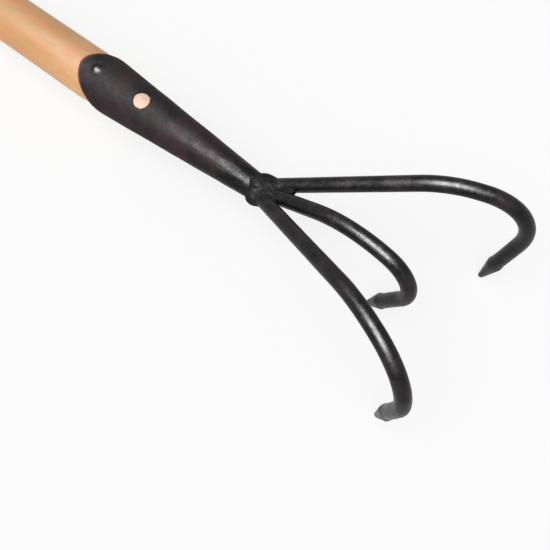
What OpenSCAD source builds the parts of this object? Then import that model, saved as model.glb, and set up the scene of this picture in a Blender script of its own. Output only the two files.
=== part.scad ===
// Three-tine garden cultivator: a long ash handle in a forged conical
// socket, with three round-rod tines butted on the socket's neck and
// welded there. It lies at rest on its three points and the handle's butt.
// Millimetres. The tool points along +X, left is +Y, up is +Z.

/* [Handle] */
// Diameter of the handle
handle_d = 30; // [28:0.5:30]
// Whole length of the handle, with the nose inside the socket
handle_len = 1200; // [900:10:1500]
// Radius of the rounded edge of the butt
butt_round = 9; // [4:0.5:12]

/* [Socket] */
// Distance from the tine roots back to the tip of the mouth's tongue
socket_len = 128; // [122:0.5:134]
// Outside radius of the socket's cone, carried on to the tine roots
neck_r = 7; // [6.9:0.1:7.4]
// Growth of the outside radius for each millimetre towards the mouth
cone_slope = 0.0785; // [0.078:0.0005:0.082]
// Thickness of the socket's wall
wall = 2; // [1.6:0.1:2]
// Distance from the tine roots back to the end of the solid neck
neck_len = 26; // [20:1:34]
// How much shorter the socket is at the seam than at the tongue
mouth_cut = 30; // [12:1:34]
// Angle by which the mouth and the seam are turned about the socket's axis
mouth_angle = 14; // [0:1:20]
// Width of the seam along the underside
seam_w = 0.6; // [0.3:0.1:1.2]

/* [Peg and nail] */
// Angle by which the peg and the nail are turned about the socket's axis
pin_angle = 10; // [0:1:20]
// Diameter of the wooden peg
peg_d = 9.5; // [7:0.5:10]
// Distance from the tip of the mouth's tongue to the peg
peg_in = 43.5; // [36:0.5:52]
// Depth of the peg's blind hole below the socket's surface
peg_depth = 21; // [15:0.5:21]
// Width of the open ring between the peg and the edge of its hole
peg_ring = 0.4; // [0.2:0.1:0.8]
// Distance from the tip of the mouth's tongue to the nail
nail_in = 10.5; // [8:0.5:14]
// Diameter of the nail's domed head
nail_head_d = 7; // [6:0.5:8]
// Height of the nail's head
nail_head_h = 1.6; // [1.2:0.1:2.2]
// Diameter of the nail's shank
nail_d = 3; // [2.5:0.1:3.4]
// Length of the nail's shank below the socket's surface
nail_len = 22; // [16:1:24]

/* [Tines] */
// Diameter of the round rod of the tines
rod_d = 8; // [7.6:0.1:8.2]
// Length of the straight between each tine's arch and its hook
crown = 3; // [2:0.5:6]
// Depth of the points below the handle's axis
point_drop = 36; // [35:0.1:38]
// Angle between each outer tine and the middle one, seen from above
splay_angle = 22; // [20:0.5:25]
// Upward angle of the outer tines' first straight
outer_rise_angle = 25.5; // [24.5:0.5:27]
// Length of the outer tines' first straight
outer_run = 81.5; // [75:0.5:88]
// Radius of the outer tines' arch
outer_arch_r = 51.5; // [48:0.5:56]
// Angle that the outer tines' arch turns through
outer_arch_angle = 30; // [29:0.5:33]
// Radius of the outer tines' hook
outer_hook_r = 30; // [28:0.5:31]
// Angle that the outer tines' hook turns through
outer_hook_angle = 96; // [93:0.5:98]
// Angle by which the middle tine is turned to the right, seen from above
middle_turn = 2; // [0:0.5:3]
// Upward angle of the middle tine's first straight
middle_rise_angle = 28.5; // [28:0.5:29.5]
// Length of the middle tine's first straight
middle_run = 38.5; // [36.5:0.5:40]
// Radius of the middle tine's arch
middle_arch_r = 62; // [58:0.5:66]
// Angle that the middle tine's arch turns through
middle_arch_angle = 37.5; // [36:0.5:39]
// Radius of the middle tine's hook
middle_hook_r = 19.5; // [18.5:0.5:20.5]
// Angle that the middle tine's hook turns through
middle_hook_angle = 108.5; // [106:0.5:110]

/* [Forged points] */
// Length over which the rod swells towards its point
flat_len = 4.5; // [3:0.5:4.5]
// Length of the outer tines' points
outer_point_len = 17.5; // [15.5:0.5:18.5]
// Length of the middle tine's point
middle_point_len = 15; // [13:0.5:17.5]
// Diameter of the swelling where the point starts
spear_w = 8.9; // [8.4:0.1:9.4]
// Thickness there across the two hammered flats
flat_t = 7.6; // [7:0.1:8]
// Diameter of the blunt tip
tip_w = 2.4; // [2:0.1:2.8]
// Thickness of the blunt tip across the flats
tip_t = 2; // [1.6:0.1:2.2]

/* [Weld] */
// Distance of the neck's end face behind the tine roots
face_back = 4; // [3:0.5:5]
// Radius of the ring that the weld runs along
collar_r = 6; // [5.8:0.1:6.3]
// Thickness of the weld run, as a radius
collar_bead = 3.3; // [3.1:0.1:3.5]
// Distance of the weld run behind the tine roots
collar_back = 3.2; // [2.6:0.1:3.6]
// Number of lumps along the weld run
lumps = 9; // [6:1:12]
// Radius of the smallest lump
lump_r = 3.4; // [3.2:0.1:3.6]
// How much larger the largest lump is
lump_spread = 0.5; // [0:0.1:0.6]
// Radius of the weld heaped on top of the roots
heap_r = 3.7; // [3.4:0.1:4]
// Where along the tines the middle of each heap lies
heap_front = 3; // [2:0.2:3.2]
// Height of each heap's middle above the tines' own middle lines
heap_lift = 1.3; // [1:0.1:1.8]
// Radius of the weld in the crotches
web_r = 2.5; // [2.2:0.1:2.7]
// Where the crotch weld starts along the tines
web_from = 6.5; // [6:0.5:7]
// Where the left crotch's weld ends along the tines
left_web_to = 16.5; // [13:0.5:17]
// Where the right crotch's weld ends along the tines
right_web_to = 11; // [10:0.5:13]

/* [Fit] */
// Air space between the end of the bore and the wooden nose
nose_room = 4; // [2:0.5:6]
// Clearance between the wooden nose and the socket's bore
nose_gap = 0.1; // [0.05:0.01:0.2]
// Clearance round the peg and the nail's shank, and under its head
pin_gap = 0.05; // [0.02:0.01:0.1]
// Clearance between the weld and the steel it sits on
weld_gap = 0.05; // [0.02:0.01:0.1]

/* [View] */
// Piece to draw
// Smoothness of the preview
$fn = 96; // [48:16:160]

/* [Hidden] */

handle_r = handle_d / 2;
rod_r = rod_d / 2;
peg_r = peg_d / 2;
spear_r = spear_w / 2;
nose_back = neck_len + nose_room;
peg_back = socket_len - peg_in;
nail_back = socket_len - nail_in;

// Step between the straights and the bends of a tine, and their lap
run_step = 0.02;
run_lap = 0.5;
butt_x = -(nose_back + handle_len);

// Outside and bore radius of the socket at a distance behind the roots
function cone_r(back) = neck_r + cone_slope * back;
function bore_r(back) = cone_r(back) - wall;

// Place where the handle's nose stops tapering
taper_back = (handle_r - neck_r + wall + nose_gap) / cone_slope;

// Root of each tine on the roots' plane
root_y = 4.2;
outer_root_z = 1.9;
middle_root_z = 0.4;

// Position along a tine's own plane where its last straight starts
function hook_end_u(run, rise, r1, a1, r2, a2) =
    run * cos(rise) + r1 * (sin(rise) - sin(rise - a1)) + crown * cos(rise - a1)
    + r2 * (sin(rise - a1) - sin(rise - a1 - a2));
function hook_end_z(run, rise, r1, a1, r2, a2) =
    run * sin(rise) + r1 * (cos(rise - a1) - cos(rise)) + crown * sin(rise - a1)
    + r2 * (cos(rise - a1 - a2) - cos(rise - a1));

outer_dir = outer_rise_angle - outer_arch_angle - outer_hook_angle;
middle_dir = middle_rise_angle - middle_arch_angle - middle_hook_angle;
outer_end_u = hook_end_u(outer_run, outer_rise_angle, outer_arch_r, outer_arch_angle,
    outer_hook_r, outer_hook_angle);
outer_end_z = outer_root_z + hook_end_z(outer_run, outer_rise_angle, outer_arch_r, outer_arch_angle,
    outer_hook_r, outer_hook_angle);
middle_end_u = hook_end_u(middle_run, middle_rise_angle, middle_arch_r, middle_arch_angle,
    middle_hook_r, middle_hook_angle);
middle_end_z = middle_root_z + hook_end_z(middle_run, middle_rise_angle, middle_arch_r, middle_arch_angle,
    middle_hook_r, middle_hook_angle);

// Last straight of the outer tines, down to the point's depth
outer_low = tip_w / 2 * abs(cos(outer_dir));
outer_tail = (outer_end_z + point_drop - outer_low) / -sin(outer_dir);
outer_tip_x = (outer_end_u + outer_tail * cos(outer_dir)) * cos(splay_angle);

// Slope at which the tool lies on its points and the butt's rounded edge
rest_run = -butt_x - butt_round + outer_tip_x;
rest_fall = point_drop - handle_r + butt_round;
rest_tilt = acos(butt_round / norm([rest_run, rest_fall])) - atan2(rest_run, rest_fall);

// Last straight of the middle tine, down to the same floor
middle_low = tip_w / 2 * abs(cos(middle_dir));
middle_fall = cos(middle_turn) * tan(rest_tilt);
middle_tail = (-point_drop + middle_low + outer_tip_x * tan(rest_tilt) - middle_end_u * middle_fall - middle_end_z)
    / (sin(middle_dir) + cos(middle_dir) * middle_fall);

// Origin under the middle of the whole tool, on the floor
front_x = (outer_run * cos(outer_rise_angle)
    + outer_arch_r * (sin(outer_rise_angle) - sin(outer_rise_angle - outer_arch_angle))
    + crown * cos(outer_rise_angle - outer_arch_angle)
    + outer_hook_r * (sin(outer_rise_angle - outer_arch_angle) + 1)) * cos(splay_angle) + rod_r;
butt_flat = handle_r - butt_round;
lift = point_drop * cos(rest_tilt) - outer_tip_x * sin(rest_tilt);
front_z = outer_end_z - outer_hook_r * cos(outer_dir);
front_world = front_x * cos(rest_tilt) - front_z * sin(rest_tilt);
back_world = butt_x * cos(rest_tilt) - butt_flat * sin(rest_tilt) - butt_round * (1 - cos(rest_tilt));
shift = -(front_world + back_world) / 2;

// Slope of the mouth's plane
mouth_low = cone_r(socket_len - mouth_cut);
mouth_tilt = atan(mouth_cut / (cone_r(socket_len) + mouth_low));

// Reach of the cutters, and how far they run past a face
big = 200;
overcut = 10;

// Bevel of the wooden nose's end, and the room beside the rod where the
// hammered flats start
nose_bevel = 1.5;
flat_room = 0.3;

// The tool as it lies on the floor
module at_rest() {
    translate([shift, 0, lift])
        rotate([0, -rest_tilt, 0])
            children();
}

// A body of revolution about the tool's axis, from [distance along X, radius]
module turned(profile) {
    rotate([0, 90, 0])
        rotate_extrude()
            polygon([for (p = profile) [p[1], p[0]]]);
}

// Straight down into the socket's top at a distance behind the roots
module drilled(back, turn) {
    rotate([turn, 0, 0])
        translate([-back, 0, 0])
            children();
}

// Round rod lying along +X
module rod(len, r) {
    rotate([0, 90, 0])
        cylinder(h = len, r = r);
}

// Round rod bent downwards, starting along +X
module bend(radius, turn) {
    translate([0, 0, -radius])
        rotate([-90, 0, 0])
            rotate([0, 0, -90])
                rotate_extrude(angle = turn)
                    translate([radius, 0])
                        circle(r = rod_r);
}

// The frame at the end of such a bend
module past_bend(radius, turn) {
    translate([radius * sin(turn), 0, -radius * (1 - cos(turn))])
        rotate([0, turn, 0])
            children();
}

// The frame at the end of a straight
module past_run(len) {
    translate([len, 0, 0])
        children();
}

// Hammered and pointed end of a rod, along +X: a swelling drawn down to a
// blunt round point, with a flat beaten on either side
module forged_point(len) {
    end = flat_len + len;
    intersection() {
        turned([
            [0, 0],
            [0, rod_r],
            [flat_len, spear_r],
            [end, tip_w / 2],
            [end, 0],
        ]);
        // outline seen from above, with the two hammered flats
        translate([0, 0, -big / 2])
            linear_extrude(height = big)
                polygon([
                    [0, -rod_r - flat_room],
                    [flat_len, -flat_t / 2],
                    [end, -tip_t / 2],
                    [end, tip_t / 2],
                    [flat_len, flat_t / 2],
                    [0, rod_r + flat_room],
                ]);
    }
}

// One bent tine from behind its root to its point. Each straight is a hair
// thinner than the bends and runs a little way into them.
module bent_tine(rise, run, r1, a1, r2, a2, tail, point) {
    extra = 3 * rod_r;
    shaft = tail - flat_len - point;
    thin = rod_r - run_step;
    rotate([0, -rise, 0]) {
        past_run(-extra)
            rod(extra + run + run_lap, thin);
        past_run(run) {
            bend(r1, a1);
            past_bend(r1, a1) {
                past_run(-run_lap)
                    rod(crown + 2 * run_lap, thin);
                past_run(crown) {
                    bend(r2, a2);
                    past_bend(r2, a2) {
                        past_run(-run_lap)
                            rod(shaft + 2 * run_lap, thin);
                        past_run(shaft)
                            forged_point(point);
                    }
                }
            }
        }
    }
}

// Angle from the tool's axis to the mitre beside the left or right outer tine
function mitre_angle(side) = (splay_angle - side * middle_turn) / 2;
// Distance from the tool's middle to that mitre
function mitre_y(x, side) = root_y / 2 + x * tan(mitre_angle(side));

// The space that a tine may fill: ahead of the neck's end face, and up to
// the mitres with its neighbours, from an outline on the tool's plane
module mitred(outline) {
    intersection() {
        children();
        translate([0, 0, -big / 2])
            linear_extrude(height = big)
                polygon(outline);
    }
}

// One outer tine, drawn on the left, with its root mitred and faced
module outer_tine(side) {
    mitred([
        [-face_back, mitre_y(-face_back, side)],
        [big, mitre_y(big, side)],
        [big, big],
        [-face_back, big],
    ])
        translate([0, root_y, outer_root_z])
            rotate([0, 0, splay_angle])
                bent_tine(outer_rise_angle, outer_run, outer_arch_r, outer_arch_angle,
                    outer_hook_r, outer_hook_angle, outer_tail, outer_point_len);
}

// The middle tine, with both sides of its root mitred
module inner_tine() {
    mitred([
        [-face_back, -mitre_y(-face_back, -1)],
        [big, -mitre_y(big, -1)],
        [big, mitre_y(big, 1)],
        [-face_back, mitre_y(-face_back, 1)],
    ])
        translate([0, 0, middle_root_z])
            rotate([0, 0, -middle_turn])
                bent_tine(middle_rise_angle, middle_run, middle_arch_r, middle_arch_angle,
                    middle_hook_r, middle_hook_angle, middle_tail, middle_point_len);
}

// The straight roots of the three tines, a little thicker by the gap
module roots(gap) {
    long = 8 * rod_r;
    translate([0, 0, middle_root_z])
        rotate([0, -middle_rise_angle, -middle_turn])
            past_run(-long)
                rod(2 * long, rod_r + gap);
    for (s = [-1, 1])
        translate([0, s * root_y, outer_root_z])
            rotate([0, 0, s * splay_angle])
                rotate([0, -outer_rise_angle, 0])
                    past_run(-long)
                        rod(2 * long, rod_r + gap);
}

// The socket's cone, solid and grown by a gap, from the neck's face back
module solid_cone(gap) {
    turned([
        [-face_back + gap, 0],
        [-face_back + gap, cone_r(face_back) + gap],
        [-socket_len, cone_r(socket_len) + gap],
        [-socket_len, 0],
    ]);
}

// The line midway between the middle tine's root and one outer tine's
module between_roots(side) {
    translate([0, side * root_y / 2, (outer_root_z + middle_root_z) / 2])
        rotate([0, 0, side * mitre_angle(side)])
            rotate([0, -(outer_rise_angle + middle_rise_angle) / 2, 0])
                children();
}

// Weld heaped on top of two neighbouring roots
module heap(side, gap) {
    between_roots(side)
        translate([heap_front, 0, heap_lift])
            sphere(r = heap_r + gap);
}

// Weld in the crotch between the middle tine and one outer tine
module web_weld(side, web_to) {
    difference() {
        between_roots(side)
            past_run(web_from) {
                rod(web_to - web_from, web_r);
                past_run(web_to - web_from)
                    sphere(r = web_r);
            }
        roots(weld_gap);
        heap(side, weld_gap);
    }
}

module handle() {
    color([0.86, 0.66, 0.45])
        at_rest()
            difference() {
                union() {
                    // tapered nose, wedged in the socket
                    turned([
                        [-nose_back, 0],
                        [-nose_back, bore_r(nose_back) - nose_gap - nose_bevel],
                        [-nose_back - nose_bevel, bore_r(nose_back + nose_bevel) - nose_gap],
                        [-taper_back, handle_r],
                        [butt_x + butt_round, handle_r],
                        [butt_x + butt_round, 0],
                    ]);
                    // rounded butt
                    translate([butt_x + butt_round, 0, 0])
                        rotate([0, -90, 0])
                            rotate_extrude()
                                union() {
                                    square([butt_flat, butt_round]);
                                    intersection() {
                                        translate([butt_flat, 0])
                                            circle(r = butt_round);
                                        translate([butt_flat, 0])
                                            square(butt_round);
                                    }
                                }
                }
                // blind hole of the peg
                drilled(peg_back, pin_angle)
                    translate([0, 0, cone_r(peg_back) - peg_depth])
                        cylinder(h = big, r = peg_r + pin_gap);
                // hole of the nail
                drilled(nail_back, pin_angle)
                    translate([0, 0, cone_r(nail_back) - nail_len - pin_gap])
                        cylinder(h = big, r = nail_d / 2 + pin_gap);
            }
}

module socket() {
    color([0.10, 0.09, 0.10])
        at_rest()
            difference() {
                solid_cone(0);
                // conical bore, ending at the solid neck
                turned([
                    [-neck_len, 0],
                    [-neck_len, bore_r(neck_len)],
                    [-socket_len - overcut, bore_r(socket_len + overcut)],
                    [-socket_len - overcut, 0],
                ]);
                // oblique mouth, longest at the tongue
                rotate([mouth_angle, 0, 0])
                    translate([-socket_len, 0, cone_r(socket_len)])
                        rotate([0, -mouth_tilt, 0])
                            translate([-big, -big / 2, -big])
                                cube([big, big, 2 * big]);
                // open seam under the socket
                rotate([mouth_angle, 0, 0])
                    translate([-socket_len, -seam_w / 2, -big])
                        cube([socket_len - neck_len - 3, seam_w, big]);
                // hole of the peg
                drilled(peg_back, pin_angle)
                    cylinder(h = big, r = peg_r + peg_ring);
                // hole of the nail
                drilled(nail_back, pin_angle)
                    cylinder(h = big, r = nail_d / 2 + pin_gap);
            }
}

module cross_peg() {
    color([0.93, 0.83, 0.70])
        at_rest()
            intersection() {
                drilled(peg_back, pin_angle)
                    translate([0, 0, cone_r(peg_back) - peg_depth + pin_gap])
                        cylinder(h = big, r = peg_r);
                solid_cone(0);
            }
}

module nail() {
    seat = cone_r(nail_back);
    dome_r = (pow(nail_head_d / 2, 2) + pow(nail_head_h, 2)) / (2 * nail_head_h);
    color([0.12, 0.12, 0.12])
        at_rest() {
            drilled(nail_back, pin_angle)
                translate([0, 0, seat - nail_len])
                    cylinder(h = nail_len + nail_head_h / 2, r = nail_d / 2);
            // domed head, bedded on the cone
            difference() {
                drilled(nail_back, pin_angle)
                    translate([0, 0, seat])
                        rotate([0, -atan(cone_slope), 0])
                            intersection() {
                                translate([0, 0, nail_head_h - dome_r])
                                    sphere(r = dome_r);
                                translate([0, 0, -nail_head_h / 2])
                                    cylinder(h = 2 * nail_head_h, r = nail_head_d / 2);
                            }
                solid_cone(pin_gap);
            }
        }
}

module weld_collar() {
    color([0.13, 0.12, 0.13])
        at_rest()
            difference() {
                union() {
                    translate([-collar_back, 0, 0])
                        rotate([0, 90, 0]) {
                            rotate_extrude()
                                translate([collar_r, 0])
                                    circle(r = collar_bead);
                            for (k = [0 : lumps - 1])
                                rotate([0, 0, 360 * k / lumps + 14 * sin(k * 137)])
                                    translate([collar_r, 0, 0.5 * cos(k * 110)])
                                        sphere(r = lump_r + lump_spread * (0.5 + 0.5 * sin(k * 83 + 20)));
                        }
                    heap(1, 0);
                    heap(-1, 0);
                }
                solid_cone(weld_gap);
                roots(weld_gap);
            }
}

module left_web_weld() {
    color([0.13, 0.12, 0.13])
        at_rest()
            web_weld(1, left_web_to);
}

module right_web_weld() {
    color([0.13, 0.12, 0.13])
        at_rest()
            web_weld(-1, right_web_to);
}

module left_tine() {
    color([0.11, 0.11, 0.12])
        at_rest()
            outer_tine(1);
}

module right_tine() {
    color([0.11, 0.11, 0.12])
        at_rest()
            mirror([0, 1, 0])
                outer_tine(-1);
}

module middle_tine() {
    color([0.11, 0.11, 0.12])
        at_rest()
            inner_tine();
}

handle();
socket();
cross_peg();
nail();
weld_collar();
left_web_weld();
right_web_weld();
left_tine();
middle_tine();
right_tine();
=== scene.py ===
import math

import bmesh
import bpy
from mathutils import Matrix, Vector, noise


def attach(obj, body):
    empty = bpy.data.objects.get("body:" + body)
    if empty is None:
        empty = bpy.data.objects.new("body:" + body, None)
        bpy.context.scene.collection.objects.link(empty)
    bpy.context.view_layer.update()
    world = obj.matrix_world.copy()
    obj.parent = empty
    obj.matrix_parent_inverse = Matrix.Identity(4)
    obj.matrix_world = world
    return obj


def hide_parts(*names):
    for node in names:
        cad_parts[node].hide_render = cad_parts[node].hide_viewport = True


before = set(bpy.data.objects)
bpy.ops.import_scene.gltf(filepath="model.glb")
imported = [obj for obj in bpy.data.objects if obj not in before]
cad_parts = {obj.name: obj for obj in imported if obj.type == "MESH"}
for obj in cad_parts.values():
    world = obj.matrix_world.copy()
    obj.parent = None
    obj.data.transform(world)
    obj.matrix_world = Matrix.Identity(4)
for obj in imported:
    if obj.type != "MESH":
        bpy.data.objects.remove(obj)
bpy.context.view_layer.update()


# The handle is one long pole of ash, turned round, sanded and varnished.
# Its nose is tapered and driven into the socket, and its butt is rounded
# off by hand. The whole tool lies with its points and this butt on the floor.
REST_TILT = math.radians(0.9017)
ROOTS_ON_FLOOR = Vector((0.5526146, 0.0, 0.0342137))
HANDLE_R = 15.0
NOSE_BACK = 30.0
NOSE_R = 7.25
FULL_BACK = 128.66
BUTT_BACK = 1230.0
BUTT_ROUND = 9.0
HANDLE_SIDES = 96
PITH_ASIDE = 0.034
PITH_BELOW = -0.047
YEARS_PER_METRE = 380.0


def laid(point):
    """A point in millimetres from the tine roots, put where the tool lies, in metres."""
    x, y, z = (v / 1000 for v in point)
    c, s = math.cos(REST_TILT), math.sin(REST_TILT)
    return Vector((x * c - z * s, y, x * s + z * c)) + ROOTS_ON_FLOOR


def skinned(name, rings, step_along=None):
    """A closed tube of rings of points, with a map of the distance along it and round it."""
    mesh = bmesh.new()
    map_layer = mesh.loops.layers.uv.new("along")
    rows = [[mesh.verts.new(laid(p)) for p in ring] for ring in rings]
    sides = len(rings[0])
    if not step_along:
        step_along = [0.0]
        for a, b in zip(rings, rings[1:]):
            step_along.append(step_along[-1] + (a[0] - b[0]).length / 1000)
    along = [at if isinstance(at, list) else [at] * sides for at in step_along]
    for i in range(len(rows) - 1):
        for k in range(sides):
            n = (k + 1) % sides
            face = mesh.faces.new((rows[i][k], rows[i][n], rows[i + 1][n], rows[i + 1][k]))
            face.smooth = True
            places = ((i, k, k), (i, n, k + 1), (i + 1, n, k + 1), (i + 1, k, k))
            for loop, (row, j, turn) in zip(face.loops, places):
                loop[map_layer].uv = (along[row][j], turn / sides)
    for end in (0, -1):
        centre = mesh.verts.new(sum((v.co for v in rows[end]), Vector()) / sides)
        for k in range(sides):
            face = mesh.faces.new((centre, rows[end][k], rows[end][(k + 1) % sides]))
            face.smooth = True
            for loop in face.loops:
                loop[map_layer].uv = (along[end][k], k / sides)
    bmesh.ops.recalc_face_normals(mesh, faces=mesh.faces)
    data = bpy.data.meshes.new(name)
    mesh.to_mesh(data)
    mesh.free()
    piece = bpy.data.objects.new(name, data)
    bpy.context.scene.collection.objects.link(piece)
    return piece


def put(tree, kind, ins=None, **settings):
    """A node of that kind, with its settings, and inputs set to values or joined to sockets."""
    node = tree.nodes.new(kind)
    for key, value in settings.items():
        setattr(node, key, value)
    for key, value in (ins or {}).items():
        if isinstance(value, bpy.types.NodeSocket):
            tree.links.new(value, node.inputs[key])
        else:
            node.inputs[key].default_value = value
    return node


def begun(name):
    """A new material, its node tree and shader, and the place along the tool in metres."""
    material = bpy.data.materials.new(name)
    material.use_nodes = True
    tree = material.node_tree
    shader = tree.nodes["Principled BSDF"]
    place = put(tree, "ShaderNodeTexCoord").outputs["Object"]
    mapped = put(tree, "ShaderNodeMapping", {
        "Vector": place, "Location": ROOTS_ON_FLOOR, "Rotation": (0, -REST_TILT, 0)}, vector_type="TEXTURE")
    return material, tree, shader, mapped.outputs["Vector"]


def stretched(tree, place, scale):
    """The place, scaled by a different amount along each axis."""
    return put(tree, "ShaderNodeMapping", {"Vector": place, "Scale": scale}).outputs["Vector"]


def cloud(tree, place, scale, detail=3.0, rough=0.5, twist=0.0):
    """Soft noise from 0 to 1."""
    return put(tree, "ShaderNodeTexNoise", {
        "Vector": place, "Scale": scale, "Detail": detail, "Roughness": rough,
        "Distortion": twist}).outputs["Fac"]


def sums(tree, what, a, b, c=0.0):
    """One step of reckoning with numbers or sockets."""
    return put(tree, "ShaderNodeMath", {0: a, 1: b, 2: c}, operation=what).outputs[0]


def stepped(tree, value, low, high, out_low=0.0, out_high=1.0):
    """The value, stretched from low and high to the two outputs, and held there."""
    return put(tree, "ShaderNodeMapRange", {
        "Value": value, "From Min": low, "From Max": high, "To Min": out_low, "To Max": out_high},
        interpolation_type="SMOOTHSTEP").outputs["Result"]


def toned(tree, amount, a, b):
    """Colour a turned into colour b by an amount."""
    node = put(tree, "ShaderNodeMix", data_type="RGBA")
    for socket, value in ((node.inputs[0], amount), (node.inputs[6], a), (node.inputs[7], b)):
        if isinstance(value, bpy.types.NodeSocket):
            tree.links.new(value, socket)
        else:
            socket.default_value = value if isinstance(value, float) else (*value, 1.0)
    return node.outputs[2]


def raised(tree, shader, height, depth, distance):
    """Small relief on the shader's surface."""
    node = put(tree, "ShaderNodeBump", {"Height": height, "Strength": depth, "Distance": distance})
    tree.links.new(node.outputs["Normal"], shader.inputs["Normal"])


def handle_radius(back):
    """Radius of the pole at a distance behind the tine roots."""
    if back < FULL_BACK:
        return NOSE_R + (HANDLE_R - NOSE_R) * (back - NOSE_BACK) / (FULL_BACK - NOSE_BACK)
    into = back - (BUTT_BACK - BUTT_ROUND)
    if into <= 0:
        return HANDLE_R
    return HANDLE_R - BUTT_ROUND + math.sqrt(max(BUTT_ROUND ** 2 - into ** 2, 0))


def turned_pole():
    """The pole as rings from its nose to its rounded butt."""
    backs = [NOSE_BACK + 4.0 * k for k in range(24)]
    count = int((BUTT_BACK - BUTT_ROUND - FULL_BACK) / 6.0) + 1
    backs += [FULL_BACK + 6.0 * k for k in range(count)]
    backs += [BUTT_BACK - BUTT_ROUND + BUTT_ROUND * math.sin(math.radians(a)) for a in range(0, 91, 6)]
    rings = []
    for back in backs:
        r = handle_radius(back)
        ring = []
        for k in range(HANDLE_SIDES):
            turn = 2 * math.pi * k / HANDLE_SIDES
            way = Vector((0, math.cos(turn), math.sin(turn)))
            # the pole is never quite round after sanding
            uneven = noise.noise(Vector((back / 90, 1.6 * way.y, 1.6 * way.z)))
            ring.append(Vector((-back, 0, 0)) + way * r * (1 - 0.006 * abs(uneven)))
        rings.append(ring)
    return skinned("ash_handle", rings)


def varnished_ash():
    """Ash with yearly rings, pores, fibres, rosy and smoky patches, and a thin satin varnish."""
    material, tree, shader, place = begun("varnished_ash")
    parts = put(tree, "ShaderNodeSeparateXYZ", {0: place}).outputs
    # yearly rings round a pith that lies outside the pole
    drift = cloud(tree, stretched(tree, place, (2.2, 22, 22)), 1.0, 2.0)
    y = sums(tree, "ADD", parts["Y"], PITH_ASIDE)
    z = sums(tree, "ADD", parts["Z"], PITH_BELOW)
    squares = sums(tree, "ADD", sums(tree, "MULTIPLY", y, y), sums(tree, "MULTIPLY", z, z))
    span = sums(tree, "SQRT", squares, 0.0)
    rings = sums(tree, "MULTIPLY_ADD", span, YEARS_PER_METRE, sums(tree, "MULTIPLY", drift, 3.4))
    ring = sums(tree, "FRACT", rings, 0.0)
    early = stepped(tree, ring, 0.34, 0.0)
    late = stepped(tree, ring, 0.7, 1.0)
    pores = cloud(tree, stretched(tree, place, (70, 2300, 2300)), 1.0, 2.0, 0.6)
    in_early = stepped(tree, early, 0.0, 0.5, 0.25, 1.0)
    dashes = sums(tree, "MULTIPLY", stepped(tree, pores, 0.56, 0.66), in_early)
    fibres = cloud(tree, stretched(tree, place, (9, 900, 900)), 1.0, 3.0, 0.6)
    patches = cloud(tree, stretched(tree, place, (14, 60, 60)), 1.0, 3.0)
    colour = toned(tree, stepped(tree, patches, 0.3, 0.7), (0.57, 0.275, 0.085), (0.68, 0.355, 0.130))
    # painted light: the pole's colour is painted paler where it goes into the socket, standing in for the
    # brighter light that falls there
    painted_light_near_mouth = stepped(tree, parts["X"], -0.165, -0.130, 0.0, 0.50)
    colour = toned(tree, painted_light_near_mouth, colour, (0.80, 0.47, 0.215))
    blush = cloud(tree, stretched(tree, place, (45, 110, 110)), 1.0, 3.0, 0.6, 0.6)
    colour = toned(tree, stepped(tree, blush, 0.46, 0.62, 0.0, 0.70), colour, (0.74, 0.30, 0.12))
    smoke = cloud(tree, stretched(tree, place, (40, 260, 260)), 1.0, 3.0, 0.6, 1.2)
    colour = toned(tree, stepped(tree, smoke, 0.52, 0.68, 0.0, 0.42), colour, (0.44, 0.28, 0.12))
    colour = toned(tree, sums(tree, "MULTIPLY", early, 0.20), colour, (0.53, 0.26, 0.115))
    colour = toned(tree, sums(tree, "MULTIPLY", late, 0.10), colour, (0.57, 0.27, 0.11))
    colour = toned(tree, stepped(tree, fibres, 0.35, 0.75, 0.0, 0.12), colour, (0.50, 0.24, 0.11))
    colour = toned(tree, sums(tree, "MULTIPLY", dashes, 0.22), colour, (0.27, 0.115, 0.045))
    tree.links.new(colour, shader.inputs["Base Color"])
    tree.links.new(stepped(tree, fibres, 0.2, 0.8, 0.40, 0.52), shader.inputs["Roughness"])
    shader.inputs["Coat Weight"].default_value = 0.12
    shader.inputs["Coat Roughness"].default_value = 0.4
    shader.inputs["IOR"].default_value = 1.36
    relief = sums(tree, "MULTIPLY_ADD", dashes, -0.7, sums(tree, "MULTIPLY", fibres, 0.35))
    raised(tree, shader, relief, 0.35, 0.0003)
    return material


handle = turned_pole()
handle.data.materials.append(varnished_ash())
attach(handle, "root")
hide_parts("handle")


# The socket is steel plate, forged round a cone until its edges meet in a
# seam underneath, then dipped in black lacquer. Its mouth is cut aslant, with
# the long tongue on top, and its front end is drawn down to a solid neck.
NECK_R = 7.0
CONE_SLOPE = 0.0785
WALL = 2.0
FACE_BACK = 4.0
BORE_BACK = 26.0
SEAM_BACK = 29.0
SEAM_WIDE = 0.6
TONGUE_BACK = 128.2
MOUTH_CUT = 28.5
MOUTH_SHAPE = 0.86
MOUTH_TURN = math.radians(14)
SOCKET_SIDES = 144
PIN_TURN = math.radians(10)
PEG_BACK = 84.5
PEG_R = 4.75
PEG_RING = 0.4
HAMMERED = 0.16
HAMMERED_FINE = 0.07


def cone_radius(back):
    """Radius of the smooth cone at a distance behind the tine roots."""
    return NECK_R + CONE_SLOPE * back


def steel_radius(back, turn):
    """Radius of the hammered cone at a distance behind the roots and an angle from the top."""
    here = Vector((back / 17, 2.1 * math.cos(turn), 2.1 * math.sin(turn)))
    return cone_radius(back) + HAMMERED * noise.noise(here) + HAMMERED_FINE * noise.noise(here * 2.7)


def mouth_back(angle):
    """How far back the mouth's edge is at an angle from the tongue."""
    return TONGUE_BACK - MOUTH_CUT * ((1 - math.cos(angle)) / 2) ** MOUTH_SHAPE


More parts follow.
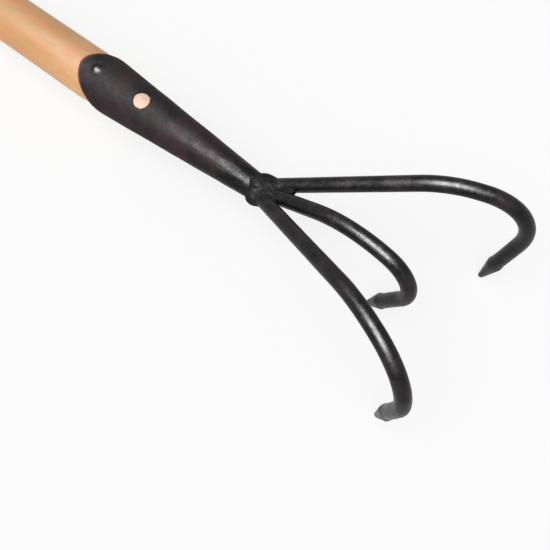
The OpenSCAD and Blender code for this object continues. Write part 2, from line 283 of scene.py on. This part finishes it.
def cut_away(piece, cutter):
    """Take the cutter's space out of the piece, and the cutter out of the scene."""
    hole = piece.modifiers.new("hole", "BOOLEAN")
    hole.operation = "DIFFERENCE"
    hole.solver = "EXACT"
    hole.object = cutter
    cut = bpy.data.meshes.new_from_object(piece.evaluated_get(bpy.context.evaluated_depsgraph_get()))
    piece.modifiers.remove(hole)
    old = piece.data
    piece.data = cut
    bpy.data.meshes.remove(old)
    cut.name = piece.name
    bpy.data.objects.remove(cutter)


def forged_socket():
    """The cone from its neck to its mouth, round the rim and up the bore, then holed and slit."""
    # steps from the outside over the rim: how far inside the mouth, and how deep in the wall
    rim = [(0.55, 0.0), (0.25, 0.08), (0.07, 0.25), (0.0, 0.55)]
    rim += [(0.0, WALL - 0.6), (0.1, WALL - 0.2), (0.4, WALL)]
    rows = []
    for i in range(72):
        rows.append(("outside", i / 72))
    rows += [("rim", r) for r in rim]
    for i in range(1, 25):
        rows.append(("bore", i / 24))
    rings = []
    from_mouth = []
    for kind, at in rows:
        ring = []
        far = []
        for k in range(SOCKET_SIDES):
            angle = 2 * math.pi * k / SOCKET_SIDES
            turn = angle + MOUTH_TURN
            edge = mouth_back(angle)
            if kind == "outside":
                back = FACE_BACK + (edge - rim[0][0] - FACE_BACK) * at
                r = steel_radius(back, turn)
            elif kind == "rim":
                back = edge - at[0]
                r = steel_radius(back, turn) - at[1]
            else:
                back = edge - rim[-1][0] + (BORE_BACK - edge + rim[-1][0]) * at
                r = cone_radius(back) - WALL
            ring.append(Vector((-back, -r * math.sin(turn), r * math.cos(turn))))
            far.append((edge - back) / 1000)
        rings.append(ring)
        from_mouth.append(far)
    piece = skinned("forged_socket", rings, step_along=from_mouth)
    top = cone_radius(PEG_BACK)
    hole_r = PEG_R + PEG_RING
    turns = [math.radians(5 * k) for k in range(72)]
    bore = [[on_pin(PEG_BACK, hole_r * math.cos(turn), hole_r * math.sin(turn), z) for turn in turns]
            for z in (top - 8, top + 6)]
    cut_away(piece, skinned("peg_drill", bore))
    deep = []
    for back in (SEAM_BACK, TONGUE_BACK):
        ring = []
        for side, z in ((1, -25), (1, -4), (-1, -4), (-1, -25)):
            y = side * SEAM_WIDE / 2
            ring.append(Vector((-back, y * math.cos(MOUTH_TURN) - z * math.sin(MOUTH_TURN),
                                y * math.sin(MOUTH_TURN) + z * math.cos(MOUTH_TURN))))
        deep.append(ring)
    cut_away(piece, skinned("seam_saw", deep))
    piece.data.set_sharp_from_angle(angle=math.radians(50))
    return piece


def on_pin(back, x, y, z):
    """A point beside the pin that goes into the socket's top at a distance behind the roots."""
    c, s = math.cos(PIN_TURN), math.sin(PIN_TURN)
    return Vector((x - back, y * c - z * s, y * s + z * c))


def black_lacquer(name, dark, tint, gloss, blotch, dents, shine):
    """Black lacquer over forged steel, brownish in places, with a grain that breaks up its shine."""
    material, tree, shader, place = begun(name)
    blots = cloud(tree, place, blotch, 4.0, 0.6, 0.4)
    grain = cloud(tree, place, 950.0, 4.0, 0.65)
    flecks = cloud(tree, place, 420.0, 3.0, 0.6)
    colour = toned(tree, stepped(tree, blots, 0.40, 0.68), dark, tint)
    colour = toned(tree, stepped(tree, grain, 0.56, 0.74, 0.0, 0.4), colour, (0.045, 0.034, 0.033))
    rough = sums(tree, "MULTIPLY_ADD", stepped(tree, blots, 0.3, 0.7), 0.12, gloss - 0.10)
    rough = sums(tree, "MULTIPLY_ADD", stepped(tree, flecks, 0.35, 0.65), 0.14, rough)
    tree.links.new(rough, shader.inputs["Roughness"])
    shader.inputs["IOR"].default_value = 1.26
    shader.inputs["Specular IOR Level"].default_value = shine
    swells = cloud(tree, place, 160.0, 2.0)
    relief = sums(tree, "MULTIPLY_ADD", grain, 0.30, sums(tree, "MULTIPLY", swells, dents))
    relief = sums(tree, "MULTIPLY_ADD", flecks, 0.45, relief)
    raised(tree, shader, relief, 0.6, 0.0004)
    return material, tree, shader, place, colour, rough


def socket_lacquer():
    """The socket's lacquer, duller towards the mouth and brown in patches along the mouth's edge."""
    material, tree, shader, place, colour, rough = black_lacquer(
        "socket_lacquer", (0.007, 0.007, 0.008), (0.026, 0.014, 0.015), 0.46, 75.0, 1.3, 0.20)
    parts = put(tree, "ShaderNodeSeparateXYZ", {0: place}).outputs
    duller = stepped(tree, parts["X"], -0.012, -0.075, -0.10, 0.14)
    tree.links.new(sums(tree, "ADD", rough, duller), shader.inputs["Roughness"])
    skin = put(tree, "ShaderNodeUVMap", uv_map="along").outputs["UV"]
    from_mouth = put(tree, "ShaderNodeSeparateXYZ", {0: skin}).outputs["X"]
    patchy = cloud(tree, place, 260.0, 3.0)
    stains = cloud(tree, place, 48.0, 3.0, 0.5, 0.8)
    colour = toned(tree, stepped(tree, stains, 0.50, 0.66, 0.0, 0.8), colour, (0.032, 0.014, 0.019))
    near_edge = stepped(tree, from_mouth, 0.0021, 0.0006)
    # brownish patches along the mouth's edge
    brown_edge_patches = sums(tree, "MULTIPLY", near_edge, stepped(tree, patchy, 0.26, 0.48))
    colour = toned(tree, sums(tree, "MULTIPLY", brown_edge_patches, 0.85), colour, (0.21, 0.085, 0.055))
    tree.links.new(colour, shader.inputs["Base Color"])
    return material


socket = forged_socket()
socket.data.materials.clear()
socket.data.materials.append(socket_lacquer())
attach(socket, "root")
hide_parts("socket")


# A hardwood peg is driven through the socket's hole into the handle, then
# sawn off flush with the steel, so that its pale end grain shows.
PEG_DEPTH = 21.0
PEG_SIDES = 64
PEG_SHIFT = Vector((-0.08, -0.14, 0.0))
PEG_HEART = (-0.099, 0.012, 0.02)
PEG_YEARS = 5200.0


def sawn_peg():
    """The peg from its inner end to its worn edge and its end, which follows the steel."""
    profile = [(PEG_DEPTH, PEG_R), (2.0, PEG_R), (0.6, PEG_R), (0.25, PEG_R - 0.05)]
    profile += [(0.06, PEG_R - 0.2), (0.0, PEG_R - 0.45)]
    profile += [(0.0, PEG_R * share) for share in (0.75, 0.5, 0.25)]
    rings = []
    for inward, r in profile:
        ring = []
        for k in range(PEG_SIDES):
            turn = 2 * math.pi * k / PEG_SIDES
            chipped = 1 + 0.035 * noise.noise(Vector((2 * math.cos(turn), 2 * math.sin(turn), 0.3)))
            chipped += 0.012 * noise.noise(Vector((7 * math.cos(turn), 7 * math.sin(turn), 5.0)))
            x = r * chipped * math.cos(turn) + PEG_SHIFT.x
            y = r * chipped * math.sin(turn) + PEG_SHIFT.y
            near = steel_radius(PEG_BACK - x, PIN_TURN - math.asin(y / cone_radius(PEG_BACK)))
            surface = math.sqrt(near ** 2 - y * y)
            ring.append(on_pin(PEG_BACK, x, y, surface - inward - 0.05))
        rings.append(ring)
    return skinned("sawn_peg", rings)


def end_grain():
    """Pale end grain with cells and yearly arcs, brown where it meets the lacquer."""
    material, tree, shader, place = begun("peg_end_grain")
    cells = cloud(tree, place, 2600.0, 2.0, 0.6)
    soft = cloud(tree, place, 420.0, 3.0)
    parts = put(tree, "ShaderNodeSeparateXYZ", {0: place}).outputs
    arc = put(tree, "ShaderNodeVectorMath", {0: place, 1: PEG_HEART}, operation="DISTANCE").outputs["Value"]
    years = sums(tree, "MULTIPLY_ADD", arc, PEG_YEARS, sums(tree, "MULTIPLY", soft, 5.0))
    wave = sums(tree, "SINE", years, 0.0)
    colour = toned(tree, stepped(tree, soft, 0.35, 0.65), (0.65, 0.41, 0.265), (0.58, 0.33, 0.19))
    colour = toned(tree, stepped(tree, wave, 0.2, 1.0, 0.0, 0.25), colour, (0.62, 0.38, 0.22))
    colour = toned(tree, stepped(tree, cells, 0.58, 0.72, 0.0, 0.35), colour, (0.48, 0.27, 0.14))
    across = put(tree, "ShaderNodeCombineXYZ", {0: parts["X"], 1: parts["Y"], 2: 0.0}).outputs[0]
    middle = (-PEG_BACK / 1000, -cone_radius(PEG_BACK) * math.sin(PIN_TURN) / 1000, 0.0)
    out = put(tree, "ShaderNodeVectorMath", {0: across, 1: middle}, operation="DISTANCE").outputs["Value"]
    colour = toned(tree, stepped(tree, out, 0.0040, 0.0049, 0.0, 0.75), colour, (0.30, 0.15, 0.07))
    tree.links.new(colour, shader.inputs["Base Color"])
    shader.inputs["Roughness"].default_value = 0.7
    raised(tree, shader, cells, 0.4, 0.0003)
    return material


peg = sawn_peg()
peg.data.materials.append(end_grain())
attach(peg, "root")
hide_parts("cross_peg")


# One round-headed nail holds the tongue to the wood. Its head was hammered
# down to a shallow dome and lacquered over with the socket.
NAIL_BACK = 117.5
NAIL_R = 3.9
NAIL_HIGH = 1.35
NAIL_SHANK_R = 1.5
NAIL_LEN = 22.0


def domed_nail():
    """The nail from the end of its shank to the top of its beaten head."""
    seat = cone_radius(NAIL_BACK)
    lean = math.atan(CONE_SLOPE)
    dome = (NAIL_R ** 2 + NAIL_HIGH ** 2) / (2 * NAIL_HIGH)
    profile = [(NAIL_SHANK_R, -NAIL_LEN), (NAIL_SHANK_R, -0.5)]
    profile += [(NAIL_R, -0.45), (NAIL_R + 0.25, -0.1)]
    for k in range(14):
        r = NAIL_R * math.cos(math.radians(6.6 * k))
        profile.append((r, math.sqrt(dome ** 2 - r * r) - dome + NAIL_HIGH + 0.12))
    rings = []
    for r, rise in profile:
        ring = []
        for k in range(48):
            turn = 2 * math.pi * k / 48
            x, y = r * math.cos(turn), r * math.sin(turn)
            beaten = 0.12 * noise.noise(Vector((0.5 * x, 0.5 * y, 4.0))) if rise > 0.2 else 0.0
            z = rise + beaten
            x, z = x * math.cos(lean) - z * math.sin(lean), x * -math.sin(lean) + z * math.cos(lean)
            ring.append(on_pin(NAIL_BACK, x, y, seat + z))
        rings.append(ring)
    return skinned("domed_nail", rings)


def nail_lacquer():
    """Lacquer rubbed bright on top of the head, and as dull as the socket round its skirt."""
    material, tree, shader, place, colour, rough = black_lacquer(
        "nail_lacquer", (0.010, 0.010, 0.010), (0.020, 0.017, 0.018), 0.22, 300.0, 0.2, 0.35)
    tree.links.new(colour, shader.inputs["Base Color"])
    skin = put(tree, "ShaderNodeUVMap", uv_map="along").outputs["UV"]
    up_the_head = put(tree, "ShaderNodeSeparateXYZ", {0: skin}).outputs["X"]
    duller = stepped(tree, up_the_head, 0.0268, 0.0252, 0.0, 0.30)
    tree.links.new(sums(tree, "ADD", rough, duller), shader.inputs["Roughness"])
    return material


nail = domed_nail()
nail.data.materials.append(nail_lacquer())
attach(nail, "root")
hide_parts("nail")


# The three tines are round steel rod, bent cold in one plane each, with a
# straight, an arch and a tight hook. Each end was heated and drawn down to a
# blunt point with two flats, longer on the right tine, then lacquered.
ROD_R = 4.0
SPLAY = math.radians(22)
CROWN = 3.0
SWELL_LEN = 4.5
SWELL_R = 4.18
FLAT_HALF = 3.85
TIP_HALF_W = 1.3
TIP_HALF_T = 1.1
TIP_ROUND = 1.1
ROUND = 2.0
SQUARISH = 2.8
ROOT_IN = 5.0
ROD_SIDES = 48
MIDDLE_TURN = math.radians(-2.3)
OUTER = dict(rise=25.5, run=81.5, arch_r=51.5, arch=30.0, hook_r=30.0, hook=96.0,
             tail=42.7317, point=17.5)
MIDDLE = dict(rise=28.5, run=38.5, arch_r=62.0, arch=37.5, hook_r=19.5, hook=108.5,
              tail=35.64, point=15.0)
LONG_POINT = 21.5
OUTER_ROOT = (4.2, 1.9)
MIDDLE_ROOT = (0.0, 0.4)


def rod_line(bend):
    """The rod's middle line in its own plane from root to tip, as (distance, place, direction)."""
    line = []
    place, way = Vector((0.0, 0.0)), math.radians(bend["rise"])
    travelled = -ROOT_IN
    place = place + Vector((math.cos(way), math.sin(way))) * travelled

    def straight(length, step):
        nonlocal place, travelled
        ahead = Vector((math.cos(way), math.sin(way)))
        count = max(1, round(length / step))
        for k in range(count):
            line.append((travelled + length * k / count, place + ahead * (length * k / count), way))
        place = place + ahead * length
        travelled += length

    def curve(radius, turn, step):
        nonlocal place, way, travelled
        turn = math.radians(turn)
        count = max(2, round(radius * turn / step))
        centre = place + radius * Vector((math.sin(way), -math.cos(way)))
        first = way
        for k in range(count):
            a = first - turn * k / count
            there = centre + radius * Vector((-math.sin(a), math.cos(a)))
            line.append((travelled + radius * turn * k / count, there, a))
        way = first - turn
        place = centre + radius * Vector((-math.sin(way), math.cos(way)))
        travelled += radius * turn

    straight(bend["run"] + ROOT_IN, 2.5)
    curve(bend["arch_r"], bend["arch"], 1.6)
    straight(CROWN, 1.5)
    curve(bend["hook_r"], bend["hook"], 1.3)
    straight(bend["tail"] - SWELL_LEN - bend["point"], 1.5)
    straight(SWELL_LEN, 0.75)
    straight(bend["point"] - TIP_ROUND, 0.8)
    ahead = Vector((math.cos(way), math.sin(way)))
    for k in range(9):
        bulge = TIP_ROUND * math.sin(math.radians(11 * k))
        line.append((travelled + bulge, place + ahead * bulge, way))
    return line


def rod_section(left, point):
    """Half width, half thickness and squareness of the rod at a distance from its tip."""
    if left > SWELL_LEN + point:
        return ROD_R, ROD_R, ROUND
    if left > point:
        f = (SWELL_LEN + point - left) / SWELL_LEN
        wide = ROD_R + (SWELL_R - ROD_R) * f
        thick = ROD_R + (FLAT_HALF - ROD_R) * f
        return wide, thick, ROUND + (SQUARISH - ROUND) * f
    f = 1 - left / point
    wide = SWELL_R + (TIP_HALF_W - SWELL_R) * f
    thick = FLAT_HALF + (TIP_HALF_T - FLAT_HALF) * f
    if left < TIP_ROUND:
        cap = math.sqrt(max(1 - (1 - left / TIP_ROUND) ** 2, 0.0004))
        wide, thick = wide * cap, thick * cap
    return wide, thick, SQUARISH


def bent_tine(name, bend, root, splay):
    """The rod swept along its middle line, turned to its side and a little uneven."""
    line = rod_line(bend)
    total = line[-1][0]
    rings = []
    for far, place, way in line:
        wide, thick, square = rod_section(total - far, bend["point"])
        forged = 0.010 if total - far < SWELL_LEN + bend["point"] else 0.006
        ring = []
        for k in range(ROD_SIDES):
            t = 2 * math.pi * k / ROD_SIDES
            c, s = math.cos(t), math.sin(t)
            uneven = 1 + forged * noise.noise(Vector((far / 11 + 9 * splay, 2.6 * c, 2.6 * s)))
            out = wide * uneven * math.copysign(abs(c) ** (2 / square), c)
            side = thick * uneven * math.copysign(abs(s) ** (2 / square), s)
            u = place.x - math.sin(way) * out
            ring.append(Vector((u * math.cos(splay) - side * math.sin(splay),
                                u * math.sin(splay) + side * math.cos(splay) + root[0],
                                place.y + math.cos(way) * out + root[1])))
        rings.append(ring)
    return skinned(name, rings, step_along=[far / 1000 for far, _, _ in line])


def tine_lacquer():
    """The glossiest of the tool's lacquers."""
    material, tree, shader, place, colour, rough = black_lacquer(
        "tine_lacquer", (0.004, 0.004, 0.005), (0.018, 0.011, 0.013), 0.33, 90.0, 0.5, 0.42)
    tree.links.new(colour, shader.inputs["Base Color"])
    return material


rod_lacquer = tine_lacquer()
right_root = (-OUTER_ROOT[0], OUTER_ROOT[1])
for name, node, bend, root, splay in (
        ("bent_left_tine", "left_tine", OUTER, OUTER_ROOT, SPLAY),
        ("bent_middle_tine", "middle_tine", MIDDLE, MIDDLE_ROOT, MIDDLE_TURN),
        ("bent_right_tine", "right_tine", dict(OUTER, point=LONG_POINT), right_root, -SPLAY)):
    tine = bent_tine(name, bend, root, splay)
    tine.data.materials.append(rod_lacquer)
    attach(tine, "root")
    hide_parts(node)


# The roots are welded to the neck by a thick hand-laid run that went round
# twice, so that it is one lumpy mass with heaps on top, and a saddle of weld
# fills each crotch. It was left as laid and lacquered with the rest.
RING_R = 6.0
RING_BACK = 3.2
RING_LUMPS = 9
LUMP_R = 3.3
HEAP_R = 3.7
HEAP_AT = 3.0
HEAP_LIFT = 1.3
WELD_MIDDLE = Vector((-1.5, 0.0, 1.2))
WELD_REACH = 14.0
MELT = 0.95
UNDER_SKIN = 0.35
PITS = ((-4.4, -6.0, 5.4), (-3.6, -4.2, 7.2), (-5.0, 1.5, 8.2), (2.5, -6.4, 6.4))
PIT_DEEP = 0.7
PIT_R = 0.6
CROTCH_FROM = 5.0
CROTCH_HALF = 2.7


def midway(side, along, lift=0.0, across=0.0):
    """A point between the middle tine's root and an outer one's, at a distance along them."""
    rise = math.radians((OUTER["rise"] + MIDDLE["rise"]) / 2)
    turn = (side * SPLAY + MIDDLE_TURN) / 2
    u = along * math.cos(rise) - lift * math.sin(rise)
    root_z = (OUTER_ROOT[1] + MIDDLE_ROOT[1]) / 2
    return Vector((u * math.cos(turn) - across * math.sin(turn),
                   side * OUTER_ROOT[0] / 2 + u * math.sin(turn) + across * math.cos(turn),
                   root_z + along * math.sin(rise) + lift * math.cos(rise)))


def weld_lumps():
    """The balls of weld, as (middle, radius)."""
    lumps = []
    for k in range(RING_LUMPS):
        turn = math.radians(360 * k / RING_LUMPS + 14 * math.sin(math.radians(k * 137)))
        size = 0.5 + 0.5 * math.sin(math.radians(k * 83 + 20))
        ahead = 0.5 * math.cos(math.radians(k * 110)) - RING_BACK
        middle = Vector((ahead, RING_R * math.sin(turn), -RING_R * math.cos(turn)))
        lumps.append((middle, LUMP_R + 0.5 * size))
    for side in (-1, 1):
        lumps.append((midway(side, HEAP_AT, HEAP_LIFT), HEAP_R))
        lumps.append((midway(side, HEAP_AT + 2.6, HEAP_LIFT - 0.2), HEAP_R - 0.9))
        lumps.append((Vector((0.4, side * 7.0, 1.6)), 2.4))
    return lumps


def steel_lines():
    """The neck and the three roots as (start, way, radius), a little under their real skins."""
    lines = [(Vector((-4.0, 0.0, 0.0)), Vector((-1.0, 0.0, 0.0)), NECK_R + 0.3 - UNDER_SKIN)]
    for bend, root, splay in ((OUTER, OUTER_ROOT, SPLAY), (MIDDLE, MIDDLE_ROOT, MIDDLE_TURN),
                              (OUTER, right_root, -SPLAY)):
        rise = math.radians(bend["rise"])
        level = math.cos(rise)
        way = Vector((math.cos(splay) * level, math.sin(splay) * level, math.sin(rise)))
        lines.append((Vector((0.0, *root)), way, ROD_R - UNDER_SKIN))
    return lines


def weld_depth(point, lumps, lines):
    """Distance from the melted-together skin of lumps and steel, less than zero inside."""
    total = sum(math.exp(-MELT * ((point - middle).length - r)) for middle, r in lumps)
    for start, way, r in lines:
        along = max((point - start).dot(way), 0.0)
        total += math.exp(-MELT * ((point - start - way * along).length - r))
    return -math.log(total) / MELT


def weld_mass():
    """A ball drawn in from outside to the weld's skin, then rippled and pitted."""
    lumps = weld_lumps()
    lines = steel_lines()
    pits = [Vector(p) for p in PITS]
    mesh = bmesh.new()
    bmesh.ops.create_icosphere(mesh, subdivisions=6, radius=1.0)
    for vert in mesh.verts:
        way = vert.co.normalized()
        low, high = 2.0, WELD_REACH
        reach = high
        while reach > low and weld_depth(WELD_MIDDLE + way * reach, lumps, lines) > 0:
            high = reach
            reach -= 0.9
        if high < WELD_REACH or reach < WELD_REACH:
            low = reach
            for _ in range(7):
                middle = (low + high) / 2
                if weld_depth(WELD_MIDDLE + way * middle, lumps, lines) > 0:
                    high = middle
                else:
                    low = middle
        else:
            low = WELD_REACH
        spot = WELD_MIDDLE + way * low
        ripple = 0.42 * noise.noise(spot * 0.42) + 0.16 * noise.noise(spot * 1.1)
        ripple += 0.05 * noise.noise(spot * 2.6)
        for pit in pits:
            ripple -= PIT_DEEP * math.exp(-((spot - pit).length / PIT_R) ** 2)
        vert.co = laid(spot + way * (ripple if low < WELD_REACH else 0.0))
    for face in mesh.faces:
        face.smooth = True
    data = bpy.data.meshes.new("weld_mass")
    mesh.to_mesh(data)
    mesh.free()
    piece = bpy.data.objects.new("weld_mass", data)
    bpy.context.scene.collection.objects.link(piece)
    return piece


def crotch_saddle(name, side, end, high):
    """Weld run into the groove between two tines, from under the heap to its hollow front."""
    rings = []
    for k in range(29):
        f = k / 28
        along = CROTCH_FROM + (end - CROTCH_FROM) * math.sin(f * math.pi / 2)
        round_off = math.sqrt(max(1 - max(0.0, (along - end + 2.0) / 2.0) ** 2, 0.0009))
        ring = []
        for level in (1, -1):
            for j in range(17):
                across = level * (j / 8 - 1)
                ripple = 0.22 * noise.noise(Vector((along / 1.6, 2.2 * across, 5.0 * side + level)))
                tall = (high - 1.5 * f + 0.2 * across * across + ripple) * round_off
                ahead = along + (1.4 * across * across - 0.8) * f ** 4
                ring.append(midway(side, ahead, level * tall, CROTCH_HALF * across))
        rings.append(ring)
    return skinned(name, rings)


def weld_lacquer():
    """The dullest lacquer, broken up by the rough weld under it."""
    material, tree, shader, place, colour, rough = black_lacquer(
        "weld_lacquer", (0.005, 0.005, 0.005), (0.014, 0.012, 0.012), 0.62, 150.0, 1.8, 0.17)
    tree.links.new(colour, shader.inputs["Base Color"])
    return material


run_lacquer = weld_lacquer()
for piece, node in ((weld_mass(), "weld_collar"),
                    (crotch_saddle("left_crotch_saddle", 1, 18.5, 3.1), "left_web_weld"),
                    (crotch_saddle("right_crotch_saddle", -1, 13.5, 2.6), "right_web_weld")):
    piece.data.materials.append(run_lacquer)
    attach(piece, "root")
    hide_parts(node)


# The plain studio is a white floor, a broad soft light overhead with an even
# sky that is a little brighter behind the camera, a strip of lamp that only
# shines in the lacquer, and the camera where the photograph was taken.
FLOOR_HALF = 60.0
KEY_WAY = Vector((0.0, -0.40, 0.92)).normalized()
STRIP_ALONG = Vector((-0.57, 0.70, 0.30))
STRIP_FAR = 1.5
KEY_POWER = 1.7
STRIP_POWER = 280.0
FLOOR_WHITE = 0.78
BRIGHTER_WAY = (0.2, -0.9, 0.0)
SKY_DIM = 0.24
SKY_BRIGHT = 0.66
SKY_SHOWN = 0.96
CAMERA_AT = Vector((0.66932, -0.13850, 0.33072))
CAMERA_AHEAD = Vector((-0.25383, 0.32239, -0.91194)).normalized()
CAMERA_UP = Vector((-0.57445, 0.70829, 0.41028))

corner_ways = ((-1, -1), (1, -1), (1, 1), (-1, 1))
corners = [(x * FLOOR_HALF, y * FLOOR_HALF, 0.0) for x, y in corner_ways]
floor_mesh = bpy.data.meshes.new("studio_floor")
floor_mesh.from_pydata(corners, [], [(0, 1, 2, 3)])
floor = bpy.data.objects.new("studio_floor", floor_mesh)
bpy.context.scene.collection.objects.link(floor)
floor_paint = bpy.data.materials.new("floor_paint")
floor_paint.use_nodes = True
floor_shader = floor_paint.node_tree.nodes["Principled BSDF"]
floor_shader.inputs["Base Color"].default_value = (0.93, 0.93, 0.93, 1)
floor_shader.inputs["Roughness"].default_value = 0.9
floor_shader.inputs["Specular IOR Level"].default_value = 0.0
floor_tree = floor_paint.node_tree
path = put(floor_tree, "ShaderNodeLightPath").outputs
seen = sums(floor_tree, "ADD", path["Is Camera Ray"], path["Is Glossy Ray"])
seen = sums(floor_tree, "ADD", seen, path["Is Transmission Ray"])
paper = put(floor_tree, "ShaderNodeEmission", {"Color": (1, 1, 1, 1), "Strength": 1.0}).outputs[0]
shown = put(floor_tree, "ShaderNodeMixShader", {
    0: sums(floor_tree, "MULTIPLY", seen, FLOOR_WHITE), 1: floor_shader.outputs[0], 2: paper}).outputs[0]
floor_tree.links.new(shown, floor_tree.nodes["Material Output"].inputs["Surface"])
floor.data.materials.append(floor_paint)

key = bpy.data.lights.new("soft_overhead", "SUN")
key.energy = KEY_POWER
key.angle = math.radians(50)
key_holder = bpy.data.objects.new("soft_overhead", key)
key_holder.rotation_mode = "QUATERNION"
key_holder.rotation_quaternion = KEY_WAY.to_track_quat("Z", "Y")
bpy.context.scene.collection.objects.link(key_holder)

strip = bpy.data.lights.new("strip_in_the_lacquer", "AREA")
strip.shape = "RECTANGLE"
strip.size = 1.2
strip.size_y = 0.9
strip.energy = STRIP_POWER
strip_holder = bpy.data.objects.new("strip_in_the_lacquer", strip)
aside = KEY_WAY.cross(STRIP_ALONG).normalized()
along = aside.cross(KEY_WAY)
strip_holder.matrix_world = (Matrix.Translation(ROOTS_ON_FLOOR + KEY_WAY * STRIP_FAR)
                             @ Matrix((along, aside, KEY_WAY)).transposed().to_4x4())
strip_holder.visible_diffuse = False
bpy.context.scene.collection.objects.link(strip_holder)

world = bpy.data.worlds.new("even_sky")
world.use_nodes = True
sky = world.node_tree
direction = put(sky, "ShaderNodeTexCoord").outputs["Generated"]
behind_camera = put(sky, "ShaderNodeVectorMath", {0: direction, 1: BRIGHTER_WAY}, operation="DOT_PRODUCT")
level = stepped(sky, behind_camera.outputs["Value"], -0.6, 0.9, SKY_DIM, SKY_BRIGHT)
path = put(sky, "ShaderNodeLightPath").outputs
seen = sums(sky, "ADD", path["Is Camera Ray"], path["Is Glossy Ray"])
seen = sums(sky, "ADD", seen, path["Is Transmission Ray"])
strength = sums(sky, "MULTIPLY_ADD", sums(sky, "SUBTRACT", SKY_SHOWN, level), seen, level)
sky.links.new(strength, sky.nodes["Background"].inputs["Strength"])
sky.nodes["Background"].inputs["Color"].default_value = (1, 1, 1, 1)
bpy.context.scene.world = world

camera_data = bpy.data.cameras.new("photo_camera")
camera_data.sensor_width = 36.0
camera_data.lens = 42.545
camera_data.clip_start = 0.01
camera = bpy.data.objects.new("photo_camera", camera_data)
level_up = (CAMERA_UP - CAMERA_AHEAD * CAMERA_UP.dot(CAMERA_AHEAD)).normalized()
right = CAMERA_AHEAD.cross(level_up)
facing = Matrix((right, level_up, -CAMERA_AHEAD)).transposed().to_4x4()
camera.matrix_world = Matrix.Translation(CAMERA_AT) @ facing
bpy.context.scene.collection.objects.link(camera)
bpy.context.scene.camera = camera
bpy.context.scene.view_settings.view_transform = "Standard"
